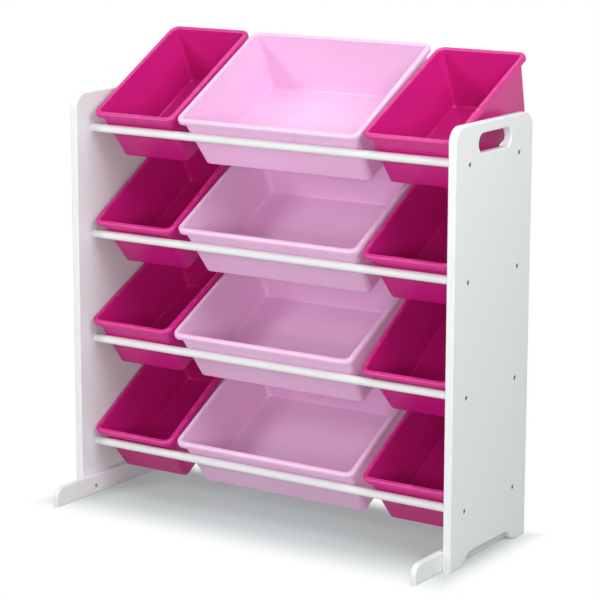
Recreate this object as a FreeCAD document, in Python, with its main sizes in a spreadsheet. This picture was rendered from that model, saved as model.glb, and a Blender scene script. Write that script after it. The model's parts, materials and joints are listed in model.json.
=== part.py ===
# Toy shelf: two side panels on forward feet, eight round rails and twelve tilted bins.
import FreeCAD, Part
import math
import os
import Sketcher

os.makedirs("parts", exist_ok=True)
doc = FreeCAD.newDocument("toy_shelf")
sheet = doc.addObject("Spreadsheet::Sheet", "sizes")
doc.recompute()

# The driving sizes, in millimetres and degrees.
# Frame: x across the shelf from its middle, y from front to back, z up from the floor.
DRIVING_SIZES = [
    # the two side panels
    ("shelf_width", 852),
    ("middle_depth", 21.8),
    ("panel_depth", 280),
    ("panel_height", 800),
    ("panel_thickness", 16),
    ("panel_corner_round", 29),
    ("panel_edge_round", 3),
    ("slot_length", 118),
    ("slot_height", 35),
    ("slot_drop", 37.5),
    ("arch_width", 187),
    ("arch_height", 22),
    ("arch_round", 30),
    # the feet
    ("foot_thickness", 12),
    ("foot_height", 38),
    ("foot_reach", 93),
    ("foot_corner_round", 20),
    ("foot_edge_round", 3),
    # the rails
    ("rail_diameter", 16),
    ("rail_pair_depth", 180),
    ("rail_first_height", 102.8),
    ("rail_top_drop", 70.2),
    # the bolts and threaded inserts at the rail ends
    ("bolt_diameter", 6),
    ("bolt_length", 26),
    ("bolt_head_diameter", 10.4),
    ("bolt_head_height", 3),
    ("bolt_recess_depth", 4),
    ("bolt_socket_width", 5),
    ("bolt_socket_depth", 2),
    ("insert_diameter", 9),
    ("insert_length", 14),
    # the screws that hold the feet
    ("screw_diameter", 4),
    ("screw_length", 24),
    ("screw_head_diameter", 8),
    ("screw_pair_depth", 224),
    ("screw_height", 16),
    # the bins
    ("bin_length", 305),
    ("small_bin_width", 190),
    ("row_play_width", 35),
    ("bin_height", 118),
    ("bin_wall", 1.8),
    ("bin_front_slope", 8),
    ("bin_back_slope", 7.6),
    ("bin_side_slope", 4.2),
    ("bin_corner_round", 11),
    ("bin_floor_round", 6),
    ("lip_overhang", 8.4),
    ("lip_drop", 9),
    ("lip_round", 4.6),
    ("mouth_round", 3),
    # clearances, on the diameter for round pieces
    ("bolt_clearance", 0.4),
    ("insert_clearance", 0.1),
    ("screw_clearance", 0.1),
    ("bin_clearance", 0.3),
]

# Each bin leans a little differently, and lies loose in its row: its share of the row's free width is
# how much of that width is on its left.
ROWS = ["top", "upper", "lower", "bottom"]
COLUMNS = ["left", "middle", "right"]
BIN_TILTS = {
    "top": (29.3, 28.7, 26.2),
    "upper": (31.0, 28.5, 30.1),
    "lower": (26.3, 27.0, 33.0),
    "bottom": (31.2, 28.8, 28.9),
}
BIN_PLAY_SHARES = {
    "top": (0.434, 0.637, 0.857),
    "upper": (0.314, 0.634, 0.794),
    "lower": (0.117, 0.311, 0.714),
    "bottom": (0.080, 0.437, 0.923),
}
for row in ROWS:
    for column, tilt in zip(COLUMNS, BIN_TILTS[row]):
        DRIVING_SIZES.append(("tilt_%s_%s" % (row, column), tilt))


class Size:
    """A number together with the sheet formula that gives it."""

    def __init__(self, value, formula):
        self.value = value
        self.formula = formula

    def __add__(self, other):
        return Size(self.value + value_of(other), "(%s + %s)" % (self.formula, formula_of(other)))

    def __sub__(self, other):
        return Size(self.value - value_of(other), "(%s - %s)" % (self.formula, formula_of(other)))

    def __mul__(self, other):
        return Size(self.value * value_of(other), "(%s * %s)" % (self.formula, formula_of(other)))

    def __truediv__(self, other):
        return Size(self.value / value_of(other), "(%s / %s)" % (self.formula, formula_of(other)))

    def __neg__(self):
        return Size(-self.value, "(0 - %s)" % self.formula)


def value_of(number):
    return number.value if isinstance(number, Size) else number


def formula_of(number):
    return number.formula if isinstance(number, Size) else "(%r)" % number


def sine(angle):
    return Size(math.sin(math.radians(angle.value)), "sin(%s)" % angle.formula)


def cosine(angle):
    return Size(math.cos(math.radians(angle.value)), "cos(%s)" % angle.formula)


def tangent(angle):
    return Size(math.tan(math.radians(angle.value)), "tan(%s)" % angle.formula)


for line, (name, number) in enumerate(DRIVING_SIZES, 1):
    sheet.set("A%d" % line, name)
    sheet.set("B%d" % line, str(number))
    sheet.setAlias("B%d" % line, name)
doc.recompute()
sizes = {name: Size(float(number), "sizes." + name) for name, number in DRIVING_SIZES}
nothing = Size(0, "0")


def bind(thing, **properties):
    """Tie properties of an object to the sheet."""
    for name, size in properties.items():
        thing.setExpression(name, size.formula)


def place(thing, x=nothing, y=nothing, z=nothing):
    """Tie an object's place in the shelf to the sheet."""
    thing.setExpression("Placement.Base.x", x.formula)
    thing.setExpression("Placement.Base.y", y.formula)
    thing.setExpression("Placement.Base.z", z.formula)


def new_body(name):
    body = doc.addObject("PartDesign::Body", name)
    body.Label = name
    return body


def sketch_on(body, role, name, offset=nothing):
    """A sketch on one of the body's own planes, moved along the plane's normal."""
    plane = [item for item in body.Origin.OriginFeatures if item.Role == role][0]
    sketch = body.newObject("Sketcher::SketchObject", name)
    sketch.AttachmentSupport = [(plane, "")]
    sketch.MapMode = "FlatFace"
    sketch.setExpression("AttachmentOffset.Base.z", offset.formula)
    return sketch


def dimension(sketch, size, kind, *ends):
    """One driving dimension of a sketch, tied to the sheet."""
    number = sketch.addConstraint(Sketcher.Constraint(kind, *ends, abs(size.value)))
    sketch.setExpression("Constraints[%d]" % number, size.formula)


def pin(sketch, item, end, x, y):
    """Hold a point of a sketch at x, y from the sketch's origin."""
    for size, kind, axis in ((x, "DistanceX", -2), (y, "DistanceY", -1)):
        if size.value == 0:
            sketch.addConstraint(Sketcher.Constraint("PointOnObject", item, end, axis))
        elif size.value > 0:
            dimension(sketch, size, kind, -1, 1, item, end)
        else:
            dimension(sketch, -size, kind, item, end, -1, 1)


def polygon(sketch, corners):
    """A closed outline of straight edges through the corners."""
    first = sketch.GeometryCount
    points = [FreeCAD.Vector(x.value, y.value, 0) for x, y in corners]
    for start, end in zip(points, points[1:] + points[:1]):
        sketch.addGeometry(Part.LineSegment(start, end))
    for step, (x, y) in enumerate(corners):
        following = first + (step + 1) % len(corners)
        sketch.addConstraint(Sketcher.Constraint("Coincident", first + step, 2, following, 1))
        pin(sketch, first + step, 1, x, y)


def circle(sketch, x, y, diameter):
    number = sketch.addGeometry(
        Part.Circle(FreeCAD.Vector(x.value, y.value, 0), FreeCAD.Vector(0, 0, 1), diameter.value / 2))
    pin(sketch, number, 3, x, y)
    dimension(sketch, diameter, "Diameter", number)


def quarter(x, y, radius, start):
    """A quarter of a circle, anticlockwise from the angle start."""
    ring = Part.Circle(FreeCAD.Vector(x, y, 0), FreeCAD.Vector(0, 0, 1), radius)
    return Part.ArcOfCircle(ring, math.radians(start), math.radians(start + 90))


def rounded_rectangle(sketch, left, right, front, back, radius):
    """A rectangle between four lines with four equal round corners."""
    first = sketch.GeometryCount
    x0, x1, y0, y1, r = (size.value for size in (left, right, front, back, radius))
    along = FreeCAD.Vector
    sketch.addGeometry(Part.LineSegment(along(x0 + r, y0, 0), along(x1 - r, y0, 0)))
    sketch.addGeometry(quarter(x1 - r, y0 + r, r, 270))
    sketch.addGeometry(Part.LineSegment(along(x1, y0 + r, 0), along(x1, y1 - r, 0)))
    sketch.addGeometry(quarter(x1 - r, y1 - r, r, 0))
    sketch.addGeometry(Part.LineSegment(along(x1 - r, y1, 0), along(x0 + r, y1, 0)))
    sketch.addGeometry(quarter(x0 + r, y1 - r, r, 90))
    sketch.addGeometry(Part.LineSegment(along(x0, y1 - r, 0), along(x0, y0 + r, 0)))
    sketch.addGeometry(quarter(x0 + r, y0 + r, r, 180))
    for step in range(8):
        sketch.addConstraint(
            Sketcher.Constraint("Tangent", first + step, 2, first + (step + 1) % 8, 1))
    for step, kind in ((0, "Horizontal"), (2, "Vertical"), (4, "Horizontal"), (6, "Vertical")):
        sketch.addConstraint(Sketcher.Constraint(kind, first + step))
    for step in (3, 5, 7):
        sketch.addConstraint(Sketcher.Constraint("Equal", first + 1, first + step))
    dimension(sketch, radius, "Radius", first + 1)
    pin(sketch, first + 1, 3, right - radius, front + radius)
    pin(sketch, first + 5, 3, left + radius, back - radius)


def obround(sketch, x, y, length, height):
    """A long hole with two half-round ends, level in the sketch."""
    first = sketch.GeometryCount
    reach = (length - height) / 2
    r = height.value / 2
    x0, x1, level = x.value - reach.value, x.value + reach.value, y.value
    sketch.addGeometry(
        Part.LineSegment(FreeCAD.Vector(x0, level - r, 0), FreeCAD.Vector(x1, level - r, 0)))
    right_ring = Part.Circle(FreeCAD.Vector(x1, level, 0), FreeCAD.Vector(0, 0, 1), r)
    sketch.addGeometry(Part.ArcOfCircle(right_ring, -math.pi / 2, math.pi / 2))
    sketch.addGeometry(
        Part.LineSegment(FreeCAD.Vector(x1, level + r, 0), FreeCAD.Vector(x0, level + r, 0)))
    left_ring = Part.Circle(FreeCAD.Vector(x0, level, 0), FreeCAD.Vector(0, 0, 1), r)
    sketch.addGeometry(Part.ArcOfCircle(left_ring, math.pi / 2, 3 * math.pi / 2))
    for step in range(4):
        sketch.addConstraint(
            Sketcher.Constraint("Tangent", first + step, 2, first + (step + 1) % 4, 1))
    sketch.addConstraint(Sketcher.Constraint("Equal", first + 1, first + 3))
    dimension(sketch, height / 2, "Radius", first + 1)
    pin(sketch, first + 1, 3, x + reach, y)
    pin(sketch, first + 3, 3, x - reach, y)


def pad(body, sketch, length, side=1):
    """Material along the sketch's normal, or against it where side is -1."""
    feature = body.newObject("PartDesign::Pad", sketch.Name + "_pad")
    feature.Profile = sketch
    bind(feature, Length=length)
    feature.Reversed = side < 0
    sketch.Visibility = False
    doc.recompute()
    return feature


def pocket(body, sketch, length, side=1):
    """A cut along the sketch's normal, or against it where side is -1."""
    before = body.Shape.Volume
    feature = body.newObject("PartDesign::Pocket", sketch.Name + "_cut")
    feature.Profile = sketch
    bind(feature, Length=length)
    feature.Reversed = side > 0
    sketch.Visibility = False
    doc.recompute()
    if not feature.Shape.Volume < before:
        raise ValueError(feature.Name + " cuts nothing")
    return feature


def upward_pattern(body, features, sketch):
    """Repeat features once for each row of rails."""
    pattern = body.newObject("PartDesign::LinearPattern", body.Name + "_rows")
    pattern.Originals = features
    pattern.Direction = (sketch, ["V_Axis"])
    pattern.Occurrences = len(ROWS)
    bind(pattern, Length=rails_rise)
    body.Tip = pattern
    doc.recompute()
    return pattern


def round_edges(body, picked, radius, name):
    """Round edges or whole face borders of the body's last feature."""
    base = body.Tip
    feature = body.newObject("PartDesign::Fillet", body.Name + "_" + name)
    feature.Base = (base, picked)
    bind(feature, Radius=radius)
    doc.recompute()
    return feature


def edge_names(shape, wanted):
    return ["Edge%d" % number for number, edge in enumerate(shape.Edges, 1) if wanted(edge)]


def matching_edges(shape, edges):
    """Names of the shape's own edges that are the given ones."""
    return edge_names(shape, lambda own: any(own.isSame(edge) for edge in edges))


def nearest_face(shape, measure):
    """Name of the face with the smallest measure."""
    return "Face%d" % (1 + min(range(len(shape.Faces)), key=lambda i: measure(shape.Faces[i])))


def level_face_borders(shape, height):
    """Names of the edges round the outside and round the inside of the level face at a height."""
    face = shape.getElement(nearest_face(shape, lambda face: abs(face.CenterOfMass.z - height.value)))
    inside = [edge for edge in face.Edges if not matching_edges(face.OuterWire, [edge])]
    return matching_edges(shape, face.OuterWire.Edges), matching_edges(shape, inside)


def runs_across(edge):
    """True for an edge that runs through the thickness of a board."""
    return edge.BoundBox.XLength > edge.BoundBox.YLength + edge.BoundBox.ZLength


def two_sides(shape):
    """The two large faces of a board."""
    return [nearest_face(shape, lambda face: face.CenterOfMass.x),
            nearest_face(shape, lambda face: -face.CenterOfMass.x)]


half_rail_depth = sizes["rail_pair_depth"] / 2
half_screw_pair_depth = sizes["screw_pair_depth"] / 2
inner_half_width = sizes["shelf_width"] / 2 - sizes["panel_thickness"]
half_depth = sizes["panel_depth"] / 2
wide_bin_width = inner_half_width * 2 - sizes["small_bin_width"] * 2 - sizes["row_play_width"]
insert_bore = sizes["insert_diameter"] + sizes["insert_clearance"]
screw_hole = sizes["screw_diameter"] + sizes["screw_clearance"]
screw_head_slope = (sizes["screw_head_diameter"] - sizes["screw_diameter"]) / 2
socket_half_angle = Size(30, "30")
rails_rise = sizes["panel_height"] - sizes["rail_top_drop"] - sizes["rail_first_height"]
row_pitch = rails_rise / (len(ROWS) - 1)
INSIDE_SHARE = 0.9


def rail_height(row):
    """Height of a row's two rails above the floor; the rows count from the top."""
    return sizes["rail_first_height"] + row_pitch * (len(ROWS) - 1 - ROWS.index(row))


def bin_width(column):
    """The middle bin of a row is the wide one."""
    return wide_bin_width if column == "middle" else sizes["small_bin_width"]


def bin_place(row, column):
    """Where a bin's middle lies across the shelf: after the bins and the free width on its left."""
    number = COLUMNS.index(column)
    before = sizes["row_play_width"] * BIN_PLAY_SHARES[row][number] + bin_width(column) / 2
    for left_one in COLUMNS[:number]:
        before = before + bin_width(left_one)
    return before - inner_half_width


def side_panel(name, side):
    """A board with round top corners, a hand slot and an arch between its two standing ends."""
    body = new_body(name)
    foot = sizes["arch_width"] / 2
    crown = foot - sizes["arch_height"]
    outline = sketch_on(body, "YZ_Plane", name + "_outline")
    polygon(outline, [
        (-half_depth, nothing),
        (-foot, nothing),
        (-crown, sizes["arch_height"]),
        (crown, sizes["arch_height"]),
        (foot, nothing),
        (half_depth, nothing),
        (half_depth, sizes["panel_height"]),
        (-half_depth, sizes["panel_height"]),
    ])
    slot_middle = sizes["panel_height"] - sizes["slot_drop"]
    obround(outline, nothing, slot_middle, sizes["slot_length"], sizes["slot_height"])
    board = pad(body, outline, sizes["panel_thickness"], side)

    def is_top_corner(edge):
        return runs_across(edge) and edge.BoundBox.ZMax > slot_middle.value + sizes["slot_height"].value

    def is_arch_corner(edge):
        low = edge.BoundBox.ZMax < sizes["panel_height"].value / 2
        return runs_across(edge) and low and abs(edge.BoundBox.YMin) < half_depth.value * INSIDE_SHARE

    round_edges(body, edge_names(board.Shape, is_top_corner), sizes["panel_corner_round"], "corners")
    round_edges(body, edge_names(body.Tip.Shape, is_arch_corner), sizes["arch_round"], "arch")
    round_edges(body, two_sides(body.Tip.Shape), sizes["panel_edge_round"], "edges")

    shank = sketch_on(body, "YZ_Plane", name + "_bolt_holes")
    head = sketch_on(body, "YZ_Plane", name + "_bolt_recesses", sizes["panel_thickness"] * side)
    for depth in (-half_rail_depth, half_rail_depth):
        circle(shank, depth, sizes["rail_first_height"],
               sizes["bolt_diameter"] + sizes["bolt_clearance"])
        circle(head, depth, sizes["rail_first_height"],
               sizes["bolt_head_diameter"] + sizes["bolt_clearance"])
    holes = pocket(body, shank, sizes["panel_thickness"], side)
    recesses = pocket(body, head, sizes["bolt_recess_depth"], -side)
    upward_pattern(body, [holes, recesses], shank)

    pilots = sketch_on(body, "YZ_Plane", name + "_screw_holes")
    for depth in (-half_screw_pair_depth, half_screw_pair_depth):
        circle(pilots, depth, sizes["screw_height"], screw_hole)
    pocket(body, pilots, sizes["screw_length"] - sizes["foot_thickness"] + sizes["screw_clearance"], side)
    place(body, inner_half_width * side, sizes["middle_depth"])
    return body


def foot_board(name, side):
    """A low board on the floor against a panel's inner face, with a round front corner."""
    body = new_body(name)
    front = half_depth + sizes["foot_reach"]
    outline = sketch_on(body, "YZ_Plane", name + "_outline")
    polygon(outline, [
        (-front, nothing),
        (half_depth, nothing),
        (half_depth, sizes["foot_height"]),
        (-front, sizes["foot_height"]),
    ])
    board = pad(body, outline, sizes["foot_thickness"], -side)

    def is_front_corner(edge):
        in_front = edge.BoundBox.YMax < -half_depth.value
        return runs_across(edge) and in_front and edge.BoundBox.ZMin > sizes["foot_height"].value / 2

    round_edges(body, edge_names(board.Shape, is_front_corner), sizes["foot_corner_round"], "corner")
    round_edges(body, two_sides(body.Tip.Shape), sizes["foot_edge_round"], "edges")
    holes = sketch_on(body, "YZ_Plane", name + "_screw_holes")
    for depth in (-half_screw_pair_depth, half_screw_pair_depth):
        circle(holes, depth, sizes["screw_height"], screw_hole)
    bored = pocket(body, holes, sizes["foot_thickness"], -side)

    def is_hole_mouth(edge):
        is_round = isinstance(edge.Curve, Part.Circle) and edge.Curve.Radius < screw_hole.value
        return is_round and abs(edge.CenterOfMass.x) > sizes["foot_thickness"].value / 2

    sinks = body.newObject("PartDesign::Chamfer", name + "_sinks")
    sinks.Base = (bored, edge_names(bored.Shape, is_hole_mouth))
    bind(sinks, Size=screw_head_slope)
    doc.recompute()
    place(body, inner_half_width * side, sizes["middle_depth"])
    return body


def rail(name, row, side):
    """A round rail from panel to panel, bored at both ends for the threaded inserts."""
    body = new_body(name)
    end = sketch_on(body, "YZ_Plane", name + "_section")
    circle(end, nothing, nothing, sizes["rail_diameter"])
    rod = pad(body, end, inner_half_width * 2)
    rod.SideType = "Symmetric"
    doc.recompute()
    for hand in (-1, 1):
        bore = sketch_on(body, "YZ_Plane", "%s_bore_%s" % (name, "right" if hand > 0 else "left"),
                         inner_half_width * hand)
        circle(bore, nothing, nothing, insert_bore)
        pocket(body, bore, sizes["insert_length"] + sizes["insert_clearance"], -hand)
    place(body, nothing, sizes["middle_depth"] + half_rail_depth * side, rail_height(row))
    return body


def spun_piece(name, profile):
    """A round piece on a level axis: half its profile spun about that axis."""
    body = new_body(name)
    half = sketch_on(body, "XY_Plane", name + "_profile")
    polygon(half, profile)
    turned = body.newObject("PartDesign::Revolution", name + "_spun")
    turned.Profile = half
    turned.ReferenceAxis = (half, ["H_Axis"])
    half.Visibility = False
    doc.recompute()
    return body, half, turned


def repeat(body, sketch, features, depth_step, rows):
    """Repeat features from the front row of holes to the back one, and upward once for each row."""
    pattern = body.newObject("PartDesign::LinearPattern", body.Name + "_set")
    pattern.Originals = features
    pattern.Direction = (sketch, ["V_Axis"])
    pattern.Occurrences = 2
    bind(pattern, Length=depth_step)
    if rows > 1:
        pattern.Direction2 = (sketch, ["N_Axis"])
        pattern.Occurrences2 = rows
        bind(pattern, Length2=row_pitch * (rows - 1))
    body.Tip = pattern
    doc.recompute()


def bolt_set(name, side):
    """Eight bolts with round heads and six-sided sockets, sunk in a panel's outer face."""
    seat = sizes["panel_thickness"] - sizes["bolt_recess_depth"]
    head_end = seat + sizes["bolt_head_height"]
    tip = seat - sizes["bolt_length"]
    front_row = sizes["middle_depth"] - half_rail_depth
    body, half, turned = spun_piece(name, [
        (tip * side, nothing),
        (tip * side, sizes["bolt_diameter"] / 2),
        (seat * side, sizes["bolt_diameter"] / 2),
        (seat * side, sizes["bolt_head_diameter"] / 2),
        (head_end * side, sizes["bolt_head_diameter"] / 2),
        (head_end * side, nothing),
    ])
    socket = sketch_on(body, "YZ_Plane", name + "_socket", head_end * side)
    corner = sizes["bolt_socket_width"] / cosine(socket_half_angle) / 2
    flat = sizes["bolt_socket_width"] / 2
    side_half = corner / 2
    polygon(socket, [
        (nothing, -corner), (flat, -side_half), (flat, side_half),
        (nothing, corner), (-flat, side_half), (-flat, -side_half),
    ])
    cut = pocket(body, socket, sizes["bolt_socket_depth"], -side)
    repeat(body, half, [turned, cut], sizes["rail_pair_depth"], len(ROWS))
    place(body, inner_half_width * side, front_row, sizes["rail_first_height"])
    return body


def insert_set(name, side):
    """Eight threaded inserts, flush with the ends of the rails."""
    bore = (sizes["bolt_diameter"] + sizes["insert_clearance"]) / 2
    front_row = sizes["middle_depth"] - half_rail_depth
    body, half, turned = spun_piece(name, [
        (nothing, bore),
        (-sizes["insert_length"] * side, bore),
        (-sizes["insert_length"] * side, sizes["insert_diameter"] / 2),
        (nothing, sizes["insert_diameter"] / 2),
    ])
    repeat(body, half, [turned], sizes["rail_pair_depth"], len(ROWS))
    place(body, inner_half_width * side, front_row, sizes["rail_first_height"])
    return body


def screw_set(name, side):
    """Two countersunk screws through a foot into its panel."""
    front_hole = sizes["middle_depth"] - half_screw_pair_depth
    head = -sizes["foot_thickness"]
    neck = head + screw_head_slope
    tip = head + sizes["screw_length"]
    body, half, turned = spun_piece(name, [
        (head * side, nothing),
        (head * side, sizes["screw_head_diameter"] / 2),
        (neck * side, sizes["screw_diameter"] / 2),
        (tip * side, sizes["screw_diameter"] / 2),
        (tip * side, nothing),
    ])
    repeat(body, half, [turned], sizes["screw_pair_depth"], 1)
    place(body, inner_half_width * side, front_hole, sizes["screw_height"])
    return body


def tapered_block(body, kind, name, width, front, back, height, wall):
    """A block that narrows to its floor, at the bin's four slopes; wall sets it in from the outside."""
    block = body.newObject("PartDesign::%sWedge" % kind, name)
    plane = [item for item in body.Origin.OriginFeatures if item.Role == "XZ_Plane"][0]
    block.AttachmentSupport = [(plane, "")]
    block.MapMode = "FlatFace"
    half_rim = width / 2 - sizes["lip_overhang"] - wall
    half_floor = half_rim - height * tangent(sizes["bin_side_slope"])
    front_rim = front + sizes["lip_overhang"] + wall
    back_rim = back - sizes["lip_overhang"] - wall
    front_floor = front_rim + height * tangent(sizes["bin_front_slope"])
    back_floor = back_rim - height * tangent(sizes["bin_back_slope"])
    # the plane's own z points to the front, so places along the bin are negative
    bind(block, Ymin=-height, Ymax=nothing, Xmin=-half_floor, Xmax=half_floor, X2min=-half_rim,
         X2max=half_rim, Zmin=-back_floor, Zmax=-front_floor, Z2min=-back_rim, Z2max=-front_rim)
    doc.recompute()
    return block


def toy_bin(name, row, column):
    """An open moulded bin with tapered walls and a rolled lip, leaning on its two rails."""
    body = new_body(name)
    width = bin_width(column)
    length = sizes["bin_length"]
    height = sizes["bin_height"]
    wall = sizes["bin_wall"]
    inner_height = height - wall

    def is_slanted(edge):
        return edge.BoundBox.ZLength > inner_height.value * INSIDE_SHARE

    def is_inner_corner(edge):
        return is_slanted(edge) and edge.BoundBox.ZMax > -wall.value / 2

    def is_outer_corner(edge):
        return is_slanted(edge) and edge.BoundBox.ZMin < -height.value + wall.value / 2

    tapered_block(body, "Additive", name + "_outside", width, nothing, length, height, nothing)
    plate = sketch_on(body, "XY_Plane", name + "_lip")
    lip_corner = sizes["bin_corner_round"] + sizes["lip_overhang"]
    rounded_rectangle(plate, -width / 2, width / 2, nothing, length, lip_corner)
    pad(body, plate, wall, -1)
    skirt = sketch_on(body, "XY_Plane", name + "_skirt")
    rounded_rectangle(skirt, -width / 2, width / 2, nothing, length, lip_corner)
    rounded_rectangle(skirt, -width / 2 + wall, width / 2 - wall, wall, length - wall, lip_corner - wall)
    pad(body, skirt, sizes["lip_drop"], -1)
    tapered_block(body, "Subtractive", name + "_inside", width, nothing, length, inner_height, wall)

    # the inner rounds come before the outer ones, so that the wall is never cut through at a corner
    inner_round = sizes["bin_corner_round"] - wall
    round_edges(body, edge_names(body.Tip.Shape, is_inner_corner), inner_round, "inner_corners")
    inner_floor = nearest_face(body.Tip.Shape, lambda face: abs(face.CenterOfMass.z + inner_height.value))
    round_edges(body, [inner_floor], sizes["bin_floor_round"] - wall, "inner_floor")
    outer_corners = edge_names(body.Tip.Shape, is_outer_corner)
    round_edges(body, outer_corners, sizes["bin_corner_round"], "outer_corners")
    outer_floor = nearest_face(body.Tip.Shape, lambda face: face.CenterOfMass.z)
    round_edges(body, [outer_floor], sizes["bin_floor_round"], "outer_floor")

    # the lip rolls over at one wall's thickness: each round above has a smaller one below it
    outer_border, inner_border = level_face_borders(body.Tip.Shape, -wall)
    round_edges(body, outer_border, sizes["lip_round"] - wall, "lip_round_below")
    outer_border, inner_border = level_face_borders(body.Tip.Shape, -wall)
    round_edges(body, inner_border, sizes["mouth_round"] - wall, "mouth_round_below")
    outer_border, inner_border = level_face_borders(body.Tip.Shape, nothing)
    round_edges(body, outer_border, sizes["lip_round"], "lip_round")
    outer_border, inner_border = level_face_borders(body.Tip.Shape, nothing)
    round_edges(body, inner_border, sizes["mouth_round"], "mouth_round")
    seat_bin(body, row, column)
    return body


def seat_bin(body, row, column):
    """Lean a bin on its rails: the floor lies on the back one, the front wall meets the front one."""
    tilt = sizes["tilt_%s_%s" % (row, column)]
    slope = sizes["bin_front_slope"]
    reach = sizes["rail_diameter"] / 2 + sizes["bin_clearance"]
    rise = sine(tilt) * sizes["rail_pair_depth"]
    drop = sizes["bin_height"] + reach - rise
    along = sizes["lip_overhang"] + drop * tangent(slope) - reach / cosine(slope)
    front = along * cosine(tilt) + drop * sine(tilt)
    up = along * sine(tilt) - drop * cosine(tilt)
    body.Placement = FreeCAD.Placement(
        FreeCAD.Vector(), FreeCAD.Rotation(FreeCAD.Vector(1, 0, 0), tilt.value))
    body.setExpression("Placement.Rotation.Angle", tilt.formula)
    place(body, bin_place(row, column),
          sizes["middle_depth"] - half_rail_depth - front, rail_height(row) - up)


parts = []
for hand, side in (("left", -1), ("right", 1)):
    parts.append(side_panel(hand + "_side_panel", side))
    parts.append(foot_board(hand + "_foot", side))
    parts.append(bolt_set(hand + "_panel_bolts", side))
    parts.append(insert_set(hand + "_rail_inserts", side))
    parts.append(screw_set(hand + "_foot_screws", side))
for row in ROWS:
    parts.append(rail("front_rail_" + row, row, -1))
    parts.append(rail("back_rail_" + row, row, 1))
    for column in COLUMNS:
        parts.append(toy_bin("bin_%s_%s" % (row, column), row, column))
doc.recompute()

for item in doc.Objects:
    if "Invalid" in item.State or "Error" in item.State:
        raise ValueError("%s did not recompute: %s" % (item.Name, item.State))
for part in parts:
    if part.Shape.isNull() or not part.Shape.isValid():
        raise ValueError(part.Label + " has no valid shape")
    part.Shape.exportStep("parts/%s.step" % part.Label)
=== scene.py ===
import json
import math

import bpy
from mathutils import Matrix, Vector


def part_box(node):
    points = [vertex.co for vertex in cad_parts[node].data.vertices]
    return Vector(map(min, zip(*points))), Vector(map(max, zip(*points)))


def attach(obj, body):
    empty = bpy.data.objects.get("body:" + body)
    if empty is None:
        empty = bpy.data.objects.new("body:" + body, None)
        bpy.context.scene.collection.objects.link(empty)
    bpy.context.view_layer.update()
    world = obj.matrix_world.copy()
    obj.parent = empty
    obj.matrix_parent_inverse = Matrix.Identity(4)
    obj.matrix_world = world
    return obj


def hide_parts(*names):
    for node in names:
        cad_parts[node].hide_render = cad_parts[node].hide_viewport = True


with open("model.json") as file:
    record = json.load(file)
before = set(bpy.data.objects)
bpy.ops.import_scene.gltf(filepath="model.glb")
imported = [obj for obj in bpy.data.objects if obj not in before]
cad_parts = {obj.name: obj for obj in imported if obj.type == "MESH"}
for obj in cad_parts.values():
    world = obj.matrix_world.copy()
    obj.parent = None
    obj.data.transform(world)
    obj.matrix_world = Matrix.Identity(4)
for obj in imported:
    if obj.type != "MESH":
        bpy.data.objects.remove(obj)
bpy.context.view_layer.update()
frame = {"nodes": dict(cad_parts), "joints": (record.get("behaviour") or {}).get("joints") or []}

# Camera
# The camera stands to the right of the shelf's front and a little above it, where the photograph was
# taken. Its lens is long, and its shift keeps the shelf where the photograph's frame has it.
CAMERA_PLACE = (2.351, -3.505, 1.349)
CAMERA_AZIMUTH = math.radians(34.19)
CAMERA_PITCH = math.radians(90 - 10.97)
LENS = 137.27
PHOTO_WIDTH = 600
SHIFT = (25 / PHOTO_WIDTH, -55 / PHOTO_WIDTH)
camera_data = bpy.data.cameras.new("camera")
camera_data.lens = LENS
camera_data.shift_x, camera_data.shift_y = SHIFT
camera = bpy.data.objects.new("camera", camera_data)
camera.location = CAMERA_PLACE
camera.rotation_euler = (CAMERA_PITCH, 0, CAMERA_AZIMUTH)
bpy.context.collection.objects.link(camera)
bpy.context.scene.camera = camera
bpy.context.scene.view_settings.view_transform = "Standard"


# Floor and light
# A matt studio floor that runs out into a white backdrop, under five wide soft lamps: overhead, to the
# right, beside the camera, to the left and behind. The floor keeps the shelf's shadow, and is plain
# white beyond it for every ray that shows the studio.
class Wire:
    """What one node of a material gives; sums with wires and numbers add Math nodes."""

    def __init__(self, tree, output=None):
        self.tree = tree
        self.output = output

    def node(self, kind, settings, sockets, output=0):
        """Add a node with its settings and the values or wires of its sockets, and give its output."""
        made = self.tree.nodes.new(kind)
        for name, value in settings.items():
            setattr(made, name, value)
        for name, value in sockets.items():
            if isinstance(value, Wire):
                self.tree.links.new(value.output, made.inputs[name])
            else:
                made.inputs[name].default_value = value
        return Wire(self.tree, made.outputs[output])

    def maths(self, operation, first, second):
        return self.node("ShaderNodeMath", {"operation": operation}, {0: first, 1: second})

    def __add__(self, other):
        return self.maths("ADD", self, other)

    def __sub__(self, other):
        return self.maths("SUBTRACT", self, other)

    def __mul__(self, other):
        return self.maths("MULTIPLY", self, other)

    def __rsub__(self, other):
        return self.maths("SUBTRACT", other, self)

    __radd__ = __add__
    __rmul__ = __mul__

    def rise(self, low, high):
        """0 below low, 1 above high and smooth between; high may be the smaller one."""
        return self.node("ShaderNodeMapRange", {"interpolation_type": "SMOOTHSTEP"},
                         {"Value": self, "From Min": low, "From Max": high})

    def blend(self, one, other):
        """Colour one where this is 0, the other where it is 1."""
        return self.node("ShaderNodeMix", {"data_type": "RGBA"},
                         {"Factor": self, "A": one, "B": other}, "Result")

    def axis(self, name):
        """One part of a place: X, Y or Z."""
        return self.node("ShaderNodeSeparateXYZ", {}, {"Vector": self}, name)


def size_of(wire):
    """A number without its sign."""
    return wire.node("ShaderNodeMath", {"operation": "ABSOLUTE"}, {0: wire})


def most_of(one, other):
    return one.maths("MAXIMUM", one, other)


def seen_rays(tree):
    """1 where the studio is seen, straight, in a shine or through glass, and 0 where it gives light."""
    path = tree.nodes.new("ShaderNodeLightPath")
    camera, glossy, transmission = [
        Wire(tree, path.outputs[name])
        for name in ("Is Camera Ray", "Is Glossy Ray", "Is Transmission Ray")]
    return most_of(most_of(camera, glossy), transmission)


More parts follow.
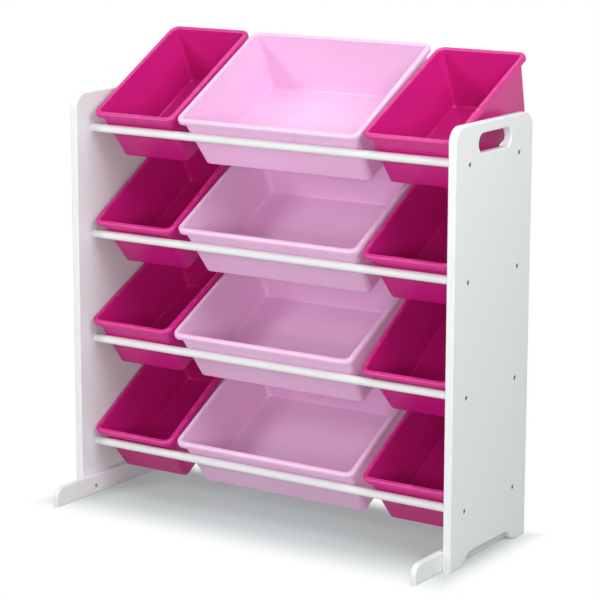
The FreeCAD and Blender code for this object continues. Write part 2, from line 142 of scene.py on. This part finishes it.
def box_of(node):
    """The lowest and the highest corner of a CAD piece."""
    return [Vector(corner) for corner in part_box(node)]


# The floor that gives light to the shelf is grey. The one that is seen is greener, against the pink
# light of the bins, and a share of it glows white even in the shadow. The shadow fades out between two
# distances in front of the side panels, beside them and behind them; one below 0 lies under the shelf.
FLOOR_SIZE = 30.0
FLOOR_GREY = (0.50, 0.50, 0.50, 1)
FLOOR_SEEN = (0.52, 0.63, 0.605, 1)
FLOOR_GLOW = 0.20
SHADOW_FRONT = (-0.0282, 0.1168)
SHADOW_SIDES = (-0.024, 0.052)
SHADOW_BACK = (-0.0418, 0.0282)
WORLD_LIGHT = 0.20
WHITE = (1, 1, 1, 1)
WHITE_LEVEL = 1.0

bpy.ops.object.select_all(action="DESELECT")
bpy.ops.mesh.primitive_plane_add(size=FLOOR_SIZE, location=(0, 0, 0))
floor = bpy.context.active_object
floor.name = "studio_floor"
floor_finish = bpy.data.materials.new("studio floor")
floor_finish.use_nodes = True
tree = floor_finish.node_tree
tree.nodes.clear()
place = Wire(tree).node("ShaderNodeTexCoord", {}, {}, "Object")
panel_low, panel_high = box_of("right_side_panel")
in_front = (panel_low.y - place.axis("Y")).rise(*SHADOW_FRONT)
beside = (size_of(place.axis("X")) - panel_high.x).rise(*SHADOW_SIDES)
behind = (place.axis("Y") - panel_high.y).rise(*SHADOW_BACK)
white_share = most_of(most_of(in_front, behind), beside) * (1 - FLOOR_GLOW) + FLOOR_GLOW
seen = seen_rays(tree)
paper = seen.node("ShaderNodeBsdfDiffuse", {}, {"Color": seen.blend(FLOOR_GREY, FLOOR_SEEN)})
glow = seen.node("ShaderNodeEmission", {}, {"Color": WHITE, "Strength": WHITE_LEVEL})
surface = seen.node("ShaderNodeMixShader", {}, {0: seen * white_share, 1: paper, 2: glow})
out = tree.nodes.new("ShaderNodeOutputMaterial")
tree.links.new(surface.output, out.inputs["Surface"])
floor.data.materials.append(floor_finish)

world = bpy.data.worlds.new("studio")
bpy.context.scene.world = world
world.use_nodes = True
tree = world.node_tree
tree.nodes.clear()
seen = seen_rays(tree)
room = seen.node("ShaderNodeBackground", {}, {"Color": WHITE, "Strength": WORLD_LIGHT})
backdrop = seen.node("ShaderNodeBackground", {}, {"Color": WHITE, "Strength": WHITE_LEVEL})
sky = seen.node("ShaderNodeMixShader", {}, {0: seen, 1: room, 2: backdrop})
out = tree.nodes.new("ShaderNodeOutputWorld")
tree.links.new(sky.output, out.inputs["Surface"])

# name, place, point it shines at, width of the lamp, level at which a white surface shows there
LAMPS = [
    ("overhead_light", (0.0, -0.2, 2.6), (0.0, 0.0, 0.6), 1.6, 0.41),
    ("right_light", (1.9, -0.6, 2.0), (0.0, 0.0, 0.6), 1.2, 0.46),
    ("camera_light", (1.9, -3.2, 1.0), (0.0, 0.0, 0.45), 0.8, 0.34),
    ("left_light", (-1.6, -2.4, 1.6), (0.0, 0.0, 0.45), 1.0, 0.35),
    ("back_light", (-1.4, 2.6, 1.3), (0.0, 0.0, 0.55), 1.8, 0.24),
]
for name, stand, target, width, level in LAMPS:
    ray = Vector(target) - Vector(stand)
    lamp_data = bpy.data.lights.new(name, "AREA")
    lamp_data.size = width
    lamp_data.energy = level * math.pi ** 2 * ray.length ** 2
    lamp = bpy.data.objects.new(name, lamp_data)
    lamp.location = stand
    lamp.rotation_euler = ray.to_track_quat("-Z", "Y").to_euler()
    bpy.context.collection.objects.link(lamp)


# Side panels and feet
# Fibreboard cut to shape, its edges rounded over, primed and rolled with white satin paint. Each
# foot is screwed to the inner face of its panel, and both stand on the floor.
HANDS = ("left", "right")
BOARD_PAINT = (0.845, 0.88, 0.89, 1)
BOARD_PAINT_THIN = (0.80, 0.79, 0.765, 1)
PAINT_SHINE = 0.42
# a pattern's waves in a metre and its detail
BOARD_PATCHES = (38.0, 4.0)
BOARD_ROLLED = (7.0, 3.0)
BOARD_STIPPLE = (620.0, 2.0)
BOARD_DIRT = (24.0, 4.0)
# where a pattern, or a distance in metres, starts to count and where it counts in full
BOARD_EDGE = (0.0052, 0.0012)
BOARD_WORN = (0.47, 0.66)
BOARD_LOW = (0.05, 0.0)
BOARD_DIRTY = (0.40, 0.75)
# how much each thins the paint, roughens it or stands out of it, and how deep in metres and how
# strong the relief is
WORN_THINS, DIRT_THINS = 0.55, 0.25
BOARD_ROUGHNESS = 0.40
ROLLED_ROUGHENS, WORN_ROUGHENS, STIPPLE_ROUGHENS = 0.10, 0.14, 0.05
ROLLED_STANDS_OUT = 0.6
BOARD_RELIEF = (0.00010, 0.6)


def new_finish(name):
    """An empty finish with its shader, and the wire that gives the place on the piece."""
    finish = bpy.data.materials.new(name)
    finish.use_nodes = True
    shader = finish.node_tree.nodes["Principled BSDF"]
    place = Wire(finish.node_tree).node("ShaderNodeTexCoord", {}, {}, "Object")
    return finish, shader, place


def feed(shader, **sockets):
    """Give a shader's sockets their numbers, or the wires that vary them."""
    for name, value in sockets.items():
        socket = shader.inputs[name.replace("_", " ")]
        if isinstance(value, Wire):
            value.tree.links.new(value.output, socket)
        else:
            socket.default_value = value


def noise(place, scale, detail, roughness=0.5):
    """Soft noise with so many waves in a metre; more detail adds finer ones."""
    return place.node("ShaderNodeTexNoise", {}, {
        "Vector": place, "Scale": scale, "Detail": detail, "Roughness": roughness}, "Fac")


def relief(height, depth, strength):
    """A bumpy surface whose bumps are so deep, in metres."""
    return height.node("ShaderNodeBump", {}, {
        "Height": height, "Distance": depth, "Strength": strength}, "Normal")


def least_of(one, other):
    return one.maths("MINIMUM", one, other)


def painted_board(name, node):
    """White satin paint over a board, thin and worn along the edges of the board's box."""
    low, high = box_of(node)
    finish, shader, place = new_finish(name)
    x, y, z = [place.axis(part) for part in "XYZ"]
    from_faces = least_of(high.x - x, x - low.x)
    from_ends = least_of(least_of(high.y - y, y - low.y), least_of(high.z - z, z - low.z))
    edge = (from_faces + from_ends).rise(*BOARD_EDGE)
    wear = edge * noise(place, *BOARD_PATCHES).rise(*BOARD_WORN)
    rolled = noise(place, *BOARD_ROLLED)
    stipple = noise(place, *BOARD_STIPPLE)
    dirt = z.rise(*BOARD_LOW) * noise(place, *BOARD_DIRT).rise(*BOARD_DIRTY)
    feed(shader,
         Base_Color=(wear * WORN_THINS + dirt * DIRT_THINS).blend(BOARD_PAINT, BOARD_PAINT_THIN),
         Roughness=(BOARD_ROUGHNESS + rolled * ROLLED_ROUGHENS + wear * WORN_ROUGHENS
                    + stipple * STIPPLE_ROUGHENS),
         Normal=relief(stipple + rolled * ROLLED_STANDS_OUT, *BOARD_RELIEF),
         Specular_IOR_Level=PAINT_SHINE)
    return finish


def finish_node(node, finish):
    """Give a CAD piece its finish."""
    mesh = frame["nodes"][node].data
    mesh.materials.clear()
    mesh.materials.append(finish)


for hand in HANDS:
    for kind in ("side_panel", "foot"):
        node = hand + "_" + kind
        finish_node(node, painted_board(node.replace("_", " ") + " paint", node))


# Rails
# Round wooden rods in white paint, each drawn tight between the panels by a bolt at either end. The
# wood's grain still shows faintly along them, and in patches the paint is rubbed smooth.
ROWS = ("top", "upper", "lower", "bottom")
SIDES = ("front", "back")
RAIL_PAINT = (0.88, 0.905, 0.90, 1)
RAIL_PAINT_THIN = (0.80, 0.80, 0.775, 1)
# streaks are given by their waves in a metre along each axis, their detail and its roughness
RAIL_GRAIN = ((9.0, 260.0, 260.0), 4.0, 0.6)
RAIL_BRUSHED = (420.0, 2.0)
RAIL_PATCHES = (16.0, 3.0)
RAIL_RUBBED = (0.52, 0.70)
RAIL_OPEN_GRAIN = (0.45, 0.70)
RAIL_THIN_SHARE = 0.5
RAIL_ROUGHNESS = 0.46
RUBBED_SMOOTHS, GRAIN_ROUGHENS = 0.12, 0.06
BRUSHED_STANDS_OUT = 0.4
RAIL_RELIEF = (0.00008, 0.6)


def streaks(place, waves, detail, roughness=0.5):
    """Noise drawn out into streaks along the axes that have few waves."""
    drawn = place.node("ShaderNodeMapping", {}, {"Vector": place, "Scale": waves}, "Vector")
    return noise(drawn, 1.0, detail, roughness)


rail_paint, shader, place = new_finish("rail paint")
grain = streaks(place, *RAIL_GRAIN)
brushed = noise(place, *RAIL_BRUSHED)
rubbed = noise(place, *RAIL_PATCHES).rise(*RAIL_RUBBED)
thin = rubbed * grain.rise(*RAIL_OPEN_GRAIN) * RAIL_THIN_SHARE
feed(shader, Base_Color=thin.blend(RAIL_PAINT, RAIL_PAINT_THIN),
     Roughness=RAIL_ROUGHNESS - rubbed * RUBBED_SMOOTHS + grain * GRAIN_ROUGHENS,
     Normal=relief(grain + brushed * BRUSHED_STANDS_OUT, *RAIL_RELIEF),
     Specular_IOR_Level=PAINT_SHINE)
for row in ROWS:
    for side in SIDES:
        finish_node("%s_rail_%s" % (side, row), rail_paint)


# Bolts
# Zinc-plated steel bolts that draw the rails tight, each sunk a little into its panel. Each is a
# round blank with its shank drawn out behind the head, a threaded rod wound about the axis and grown
# onto the shank, and a six-sided socket cut into the head.
BOLT_HEAD_WIDTH = 0.0104
BOLT_HEAD_HEIGHT = 0.003
BOLT_RIM_ROUND = 0.0008
BOLT_RIM_STEPS = 4
BOLT_WIDTH = 0.006
BOLT_LENGTH = 0.026
BOLT_SHANK = 0.0091
BOLT_THREAD = {"core": 0.0048, "crest": 0.0059, "pitch": 0.001, "turns": 18}
BOLT_TIP = 0.0005
BOLT_TIP_SHARE = 0.82
BOLT_SEAT = 0.004
SOCKET_WIDTH = 0.005
SOCKET_DEPTH = 0.002
SOCKET_SIDES = 6
HEAD_SIDES = 48
SMOOTH_BELOW = math.radians(30)
RIDGE_TOP = 0.45           # the share of a strip's middle third that the ridge's top keeps
THREAD_STEPS = 32          # steps in a turn
SPARE_TURNS = 2            # turns wound too many, about one trimmed off at either end
NEAR = 0.0001              # a corner this near a plane is picked as lying on it
VERY_NEAR = NEAR / 100     # the same at a trimmed end of a thread
MERGED = NEAR / 10         # corners this near each other become one
APART = NEAR / 1000        # a cut leaves corners where they are down to this distance
ZINC = (0.50, 0.49, 0.455, 1)
ZINC_DARK = (0.34, 0.33, 0.30, 1)
# grime and painted shade: near-black in the sockets and recesses of the heads
ZINC_GRIME_AND_SHADE = (0.035, 0.032, 0.028, 1)
ZINC_CLOUDS = (480.0, 4.0)
ZINC_CLOUDED = (0.35, 0.75)
ZINC_BRUSHED = ((300.0, 300.0, 2400.0), 2.0)
ZINC_RELIEF = (0.00003, 0.5)
GRIME_AND_SHADE_DEPTH = (0.0001, 0.0014)
GRIME_AND_SHADE_SHARE = 0.85
ZINC_ROUGHNESS = 0.34
CLOUDS_ROUGHEN, GRIME_ROUGHENS = 0.16, 0.20


def zinc_steel(name, face, inward):
    """Dull zinc for heads whose faces lie so far from the shelf's middle, with grime and painted shade in
    their recess, which goes down towards the middle (inward is -1) or away from it (1)."""
    finish, shader, place = new_finish(name)
    cloudy = noise(place, *ZINC_CLOUDS)
    brushed = streaks(place, *ZINC_BRUSHED)
    # grime and painted shade: darker the deeper the surface lies under the head's face
    grime_and_shade = size_of(place.axis("X")).rise(*(face + inward * depth for depth in GRIME_AND_SHADE_DEPTH))
    tone = cloudy.rise(*ZINC_CLOUDED).blend(ZINC, ZINC_DARK)
    feed(shader, Base_Color=(grime_and_shade * GRIME_AND_SHADE_SHARE).blend(tone, ZINC_GRIME_AND_SHADE), Metallic=1.0,
         Roughness=ZINC_ROUGHNESS + cloudy * CLOUDS_ROUGHEN + grime_and_shade * GRIME_ROUGHENS,
         Normal=relief(brushed + cloudy, *ZINC_RELIEF))
    return finish


def only(piece):
    """Select one piece and nothing else."""
    bpy.ops.object.select_all(action="DESELECT")
    piece.select_set(True)
    bpy.context.view_layer.objects.active = piece


def pick(kind, wanted):
    """In edit mode, select the active piece's faces or edges whose corners all pass the test."""
    mesh = bpy.context.active_object.data
    bpy.ops.object.mode_set(mode="EDIT")
    bpy.ops.mesh.select_mode(type=kind)
    bpy.ops.mesh.select_all(action="DESELECT")
    bpy.ops.object.mode_set(mode="OBJECT")
    for part in mesh.polygons if kind == "FACE" else mesh.edges:
        part.select = all(wanted(mesh.vertices[corner].co) for corner in part.vertices)
    bpy.ops.object.mode_set(mode="EDIT")


def draw_out(length):
    """Extrude the selected end of a fastener along its axis."""
    bpy.ops.mesh.extrude_region_move(TRANSFORM_OT_translate={"value": (length, 0.0, 0.0)})


def narrow(share):
    """Shrink the selected end of a fastener about its axis."""
    bpy.ops.transform.resize(value=(1.0, share, share), center_override=(0.0, 0.0, 0.0))


def combine(piece, tool, operation):
    """Cut the shape of a tool into a piece, or grow it on, and take the tool away."""
    only(piece)
    change = piece.modifiers.new("change", "BOOLEAN")
    change.operation = operation
    change.object = tool
    bpy.ops.object.modifier_apply(modifier=change.name)
    only(tool)
    bpy.ops.object.delete()


def roll_thread(core, crest, pitch, turns):
    """A closed threaded rod along the axis from 0, as wide as its core between the turns and as its
    crest over them: a strip one pitch wide, its middle raised to a ridge, wound about the axis and
    trimmed square at both ends."""
    bpy.ops.object.select_all(action="DESELECT")
    bpy.ops.mesh.primitive_plane_add(size=pitch, location=(0.0, (core + pitch) / 2, 0.0))
    rod = bpy.context.active_object
    bpy.ops.object.transform_apply(location=True, rotation=True, scale=True)
    pick("EDGE", lambda corner: corner.y > core / 2 + NEAR)
    bpy.ops.mesh.delete(type="VERT")
    bpy.ops.mesh.select_all(action="SELECT")
    bpy.ops.mesh.subdivide(number_cuts=2)
    pick("EDGE", lambda corner: abs(corner.x) < pitch / 4)
    bpy.ops.transform.translate(value=(0.0, (crest - core) / 2, 0.0))
    bpy.ops.transform.resize(value=(RIDGE_TOP, 1.0, 1.0), center_override=(0.0, 0.0, 0.0))
    bpy.ops.object.mode_set(mode="OBJECT")
    winding = rod.modifiers.new("winding", "SCREW")
    winding.axis = "X"
    winding.screw_offset = pitch
    winding.iterations = turns + SPARE_TURNS
    winding.steps = winding.render_steps = THREAD_STEPS
    bpy.ops.object.modifier_apply(modifier=winding.name)
    bpy.ops.object.mode_set(mode="EDIT")
    bpy.ops.mesh.select_all(action="SELECT")
    bpy.ops.mesh.remove_doubles(threshold=MERGED)
    bpy.ops.mesh.bisect(plane_co=(pitch, 0.0, 0.0), plane_no=(1.0, 0.0, 0.0),
                        threshold=APART, use_fill=True, clear_inner=True)
    bpy.ops.mesh.select_all(action="SELECT")
    bpy.ops.mesh.bisect(plane_co=(pitch * (turns + 1), 0.0, 0.0), plane_no=(1.0, 0.0, 0.0),
                        threshold=APART, use_fill=True, clear_outer=True)
    bpy.ops.mesh.select_all(action="SELECT")
    bpy.ops.transform.translate(value=(-pitch, 0.0, 0.0))
    bpy.ops.mesh.normals_make_consistent(inside=False)
    bpy.ops.object.mode_set(mode="OBJECT")
    return rod


def grow_on(blank, rod, shift):
    """Move a threaded rod along the axis to its place and make it one with the blank."""
    bpy.ops.object.mode_set(mode="OBJECT")
    bpy.ops.transform.translate(value=(shift, 0.0, 0.0))
    bpy.ops.object.transform_apply(location=True, rotation=True, scale=True)
    combine(blank, rod, "UNION")


def fit_at(pattern, name, spots, hand, finish, node):
    """Copy a fastener to its spots, turned about in the left half, and join the copies."""
    copies = []
    for spot in spots:
        only(pattern)
        bpy.ops.object.duplicate()
        if hand == "left":
            bpy.ops.transform.rotate(value=math.pi, orient_axis="Z", center_override=(0.0, 0.0, 0.0))
        bpy.ops.transform.translate(value=spot)
        bpy.ops.object.transform_apply(location=True, rotation=True, scale=True)
        copies.append(bpy.context.active_object)
    for piece in copies:
        piece.select_set(True)
    bpy.ops.object.join()
    fitted = bpy.context.active_object
    fitted.name = name
    fitted.data.materials.append(finish)
    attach(fitted, "frame")
    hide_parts(node)


bpy.ops.object.select_all(action="DESELECT")
bpy.ops.mesh.primitive_cylinder_add(
    vertices=HEAD_SIDES, radius=BOLT_HEAD_WIDTH / 2, depth=BOLT_HEAD_HEIGHT,
    location=(BOLT_HEAD_HEIGHT / 2, 0.0, 0.0), rotation=(0.0, math.pi / 2, 0.0))
bolt = bpy.context.active_object
bpy.ops.object.transform_apply(location=True, rotation=True, scale=True)
pick("EDGE", lambda corner: corner.x > BOLT_HEAD_HEIGHT - NEAR)
bpy.ops.mesh.bevel(offset=BOLT_RIM_ROUND, segments=BOLT_RIM_STEPS, affect="EDGES")
pick("FACE", lambda corner: corner.x < NEAR)
bpy.ops.mesh.inset(thickness=(BOLT_HEAD_WIDTH - BOLT_WIDTH) / 2)
draw_out(-BOLT_SHANK)
bpy.ops.object.mode_set(mode="OBJECT")
rod = roll_thread(**BOLT_THREAD)
pick("FACE", lambda corner: abs(corner.x) < VERY_NEAR)
draw_out(-BOLT_TIP)
narrow(BOLT_TIP_SHARE)
grow_on(bolt, rod, BOLT_TIP - BOLT_LENGTH)
bpy.ops.object.select_all(action="DESELECT")
bpy.ops.mesh.primitive_cylinder_add(
    vertices=SOCKET_SIDES, radius=SOCKET_WIDTH / 2 / math.cos(math.pi / SOCKET_SIDES),
    depth=SOCKET_DEPTH * 2, location=(BOLT_HEAD_HEIGHT, 0.0, 0.0), rotation=(0.0, math.pi / 2, 0.0))
combine(bolt, bpy.context.active_object, "DIFFERENCE")
only(bolt)
bpy.ops.object.shade_smooth_by_angle(angle=SMOOTH_BELOW)

bolt_face = box_of("right_panel_bolts")[1].x
bolt_steel = zinc_steel("bolt zinc", bolt_face, -1)
for hand in HANDS:
    low, high = box_of(hand + "_side_panel")
    seat = low.x + BOLT_SEAT if hand == "left" else high.x - BOLT_SEAT
    spots = []
    for row in ROWS:
        for side in SIDES:
            low, high = box_of("%s_rail_%s" % (side, row))
            middle = (low + high) / 2
            spots.append((seat, middle.y, middle.z))
    fit_at(bolt, hand + "_bolts", spots, hand, bolt_steel, hand + "_panel_bolts")
only(bolt)
bpy.ops.object.delete()


# Rail inserts
# Turned brass sleeves pressed flush into the rail ends, where the bolts find them. The threads inside
# them aren't modelled, because nothing shows them.
BRASS = (0.56, 0.39, 0.17, 1)
BRASS_DULL = (0.33, 0.22, 0.10, 1)
BRASS_TURNED = ((1800.0, 60.0, 60.0), 2.0)
BRASS_TARNISH = (240.0, 3.0)
BRASS_TARNISHED = (0.40, 0.70)
BRASS_ROUGHNESS = 0.28
TARNISH_ROUGHENS = 0.20
BRASS_RELIEF = (0.00003, 0.6)
brass, shader, place = new_finish("turned brass")
turned = streaks(place, *BRASS_TURNED)
tarnish = noise(place, *BRASS_TARNISH)
feed(shader, Base_Color=tarnish.rise(*BRASS_TARNISHED).blend(BRASS, BRASS_DULL), Metallic=1.0,
     Roughness=BRASS_ROUGHNESS + tarnish * TARNISH_ROUGHENS, Normal=relief(turned, *BRASS_RELIEF))
for hand in HANDS:
    finish_node(hand + "_rail_inserts", brass)


# Foot screws
# Countersunk zinc-plated screws with crossed recesses, two through each foot into its panel. Each is
# a cone with its shank drawn out, a coarse threaded rod with a point grown onto it, and a cross cut
# into its head.
SCREW_HEAD_WIDTH = 0.008
SCREW_WIDTH = 0.004
SCREW_HEAD_DEPTH = (SCREW_HEAD_WIDTH - SCREW_WIDTH) / 2
SCREW_LENGTH = 0.024
SCREW_SHANK = 0.007
SCREW_THREAD = {"core": 0.0027, "crest": 0.0039, "pitch": 0.0015, "turns": 8}
SCREW_THREADED = SCREW_THREAD["turns"] * SCREW_THREAD["pitch"]
SCREW_POINT = 0.004
SCREW_POINT_SHARE = 0.12
CROSS_SPAN = 0.0048
CROSS_WIDTH = 0.0011
CROSS_DEPTH = 0.0019
CROSS_TAPER = 0.45
bpy.ops.object.select_all(action="DESELECT")
bpy.ops.mesh.primitive_cone_add(
    vertices=HEAD_SIDES, radius1=SCREW_HEAD_WIDTH / 2, radius2=SCREW_WIDTH / 2, depth=SCREW_HEAD_DEPTH,
    location=(SCREW_HEAD_DEPTH / 2, 0.0, 0.0), rotation=(0.0, math.pi / 2, 0.0))
screw = bpy.context.active_object
bpy.ops.object.transform_apply(location=True, rotation=True, scale=True)
pick("FACE", lambda corner: corner.x > SCREW_HEAD_DEPTH - NEAR)
draw_out(SCREW_SHANK)
bpy.ops.object.mode_set(mode="OBJECT")
rod = roll_thread(**SCREW_THREAD)
pick("FACE", lambda corner: abs(corner.x - SCREW_THREADED) < VERY_NEAR)
draw_out(SCREW_POINT)
narrow(SCREW_POINT_SHARE)
grow_on(screw, rod, SCREW_LENGTH - SCREW_POINT - SCREW_THREADED)
for span, width in ((CROSS_SPAN, CROSS_WIDTH), (CROSS_WIDTH, CROSS_SPAN)):
    bpy.ops.mesh.primitive_cube_add(size=1.0, location=(0.0, 0.0, 0.0))
    bpy.ops.transform.resize(value=(CROSS_DEPTH * 2, span, width))
    bpy.ops.object.transform_apply(location=True, rotation=True, scale=True)
    pick("FACE", lambda corner: corner.x > CROSS_DEPTH - NEAR)
    narrow(CROSS_TAPER)
    bpy.ops.object.mode_set(mode="OBJECT")
    combine(screw, bpy.context.active_object, "DIFFERENCE")
only(screw)
bpy.ops.object.shade_smooth_by_angle(angle=SMOOTH_BELOW)

screw_face = box_of("right_foot_screws")[0].x
screw_steel = zinc_steel("screw zinc", screw_face, 1)
for hand in HANDS:
    low, high = box_of(hand + "_foot_screws")
    head = high.x if hand == "left" else low.x
    half = SCREW_HEAD_WIDTH / 2
    spots = [(head, low.y + half, low.z + half), (head, high.y - half, high.z - half)]
    fit_at(screw, hand + "_screws", spots, hand, screw_steel, hand + "_foot_screws")
only(screw)
bpy.ops.object.delete()


# Bins
# Thin polypropylene tubs moulded in one shot, hot pink at the ends of each row and light pink in the
# middle. Each lies loose: its floor on the back rail, its front wall against the front one.
BIN_COLOURS = {            # the plastic's own colour, its deeper colour where it flowed deeper and as painted shade low down, and where it is worn pale
    "hot": ((0.64, 0.014, 0.250, 1), (0.54, 0.008, 0.20, 1), (0.86, 0.20, 0.53, 1)),
    "light": ((0.90, 0.57, 0.81, 1), (0.85, 0.50, 0.75, 1), (0.94, 0.80, 0.93, 1)),
}
BIN_GLOW = {               # how much light goes in, how far each colour of it gets, and the scale of that
    "hot": (0.12, (1.0, 0.12, 0.4), 0.003),
    "light": (0.55, (1.0, 0.8, 0.95), 0.006),
}
BIN_IOR = 1.49
BIN_LOW_SHADE = {"hot": 0.65, "light": 0.15}    # how much painted shade deepens the colour low down
BIN_SHADE_HEIGHTS = (0.085, 0.015)           # heights between which the painted shade grows
BIN_FLOOR_LIFT = 0.0083            # height of the bin's floor over the axis of the back rail
BIN_HEIGHT = 0.118
BIN_LIP = (0.004, 0.0005)          # depths under the top between which the lip's wear grows
BIN_ON_RAIL = (0.0105, 0.0075)     # heights between which the rail's rubbing grows
BIN_FLOW = (9.0, 3.0)
BIN_FLOWED = (0.30, 0.72)
BIN_FLOW_TONE = 0.35
BIN_TEXTURE = (900.0, 2.0)
BIN_WAVES = (14.0, 1.0)
BIN_SCUFFS = ((70.0, 70.0, 6.0), 4.0, 0.65)
BIN_SCUFFED = (0.45, 0.62)
BIN_LIP_PATCHES = (55.0, 4.0)
BIN_LIP_WORN = (0.48, 0.68)
LIP_PALES, RUBBED_PALES = 0.16, 0.12
BIN_ROUGHNESS = 0.28
SCUFFS_ROUGHEN, MARKS_ROUGHEN = 0.10, 0.50
WAVES_STAND_OUT, TEXTURE_STANDS_OUT, RUBBED_STANDS_OUT = 2.5, 0.12, 0.2
BIN_RELIEF = (0.0004, 0.5)


def bin_plastic(name, colours, glow, low_shade, hinge, tilt):
    """Satin polypropylene, on the bin's own axes: x across, y back from the hinge, z up from the rail."""
    body, deep_and_shaded, pale = colours
    weight, radius, scale = glow
    finish, shader, place = new_finish(name)
    moved = place.node("ShaderNodeVectorMath", {"operation": "SUBTRACT"}, {0: place, 1: hinge}, "Vector")
    own = moved.node("ShaderNodeMapping", {}, {"Vector": moved, "Rotation": (-tilt, 0.0, 0.0)}, "Vector")
    z = own.axis("Z")
    scuffs = streaks(own, *BIN_SCUFFS)
    top = BIN_FLOOR_LIFT + BIN_HEIGHT
    lip = z.rise(*(top - depth for depth in BIN_LIP))
    worn_lip = lip * noise(own, *BIN_LIP_PATCHES).rise(*BIN_LIP_WORN)
    rubbed = size_of(z).rise(*BIN_ON_RAIL) * scuffs.rise(*BIN_SCUFFED)
    marks = worn_lip * LIP_PALES + rubbed * RUBBED_PALES
    flow = noise(own, *BIN_FLOW).rise(*BIN_FLOWED)
    # the flow's deeper tone at random, with painted shade deepening the colour low down on the bin
    tone = (flow * BIN_FLOW_TONE + z.rise(*BIN_SHADE_HEIGHTS) * low_shade).blend(body, deep_and_shaded)
    surface = (noise(own, *BIN_WAVES) * WAVES_STAND_OUT + noise(own, *BIN_TEXTURE) * TEXTURE_STANDS_OUT
               + rubbed * RUBBED_STANDS_OUT)
    feed(shader, Base_Color=marks.blend(tone, pale),
         Roughness=BIN_ROUGHNESS + scuffs * SCUFFS_ROUGHEN + marks * MARKS_ROUGHEN,
         Normal=relief(surface, *BIN_RELIEF), IOR=BIN_IOR,
         Subsurface_Weight=weight, Subsurface_Radius=radius, Subsurface_Scale=scale)
    return finish


for joint in frame["joints"]:
    row, column = joint["name"].split("_")[1:]
    node = "bin_%s_%s" % (row, column)
    kind = "light" if column == "middle" else "hot"
    tilt = math.radians(joint["range_deg"][1])
    finish_node(node, bin_plastic(node.replace("_", " ") + " plastic", BIN_COLOURS[kind],
                                  BIN_GLOW[kind], BIN_LOW_SHADE[kind], joint["pos_m"], tilt))
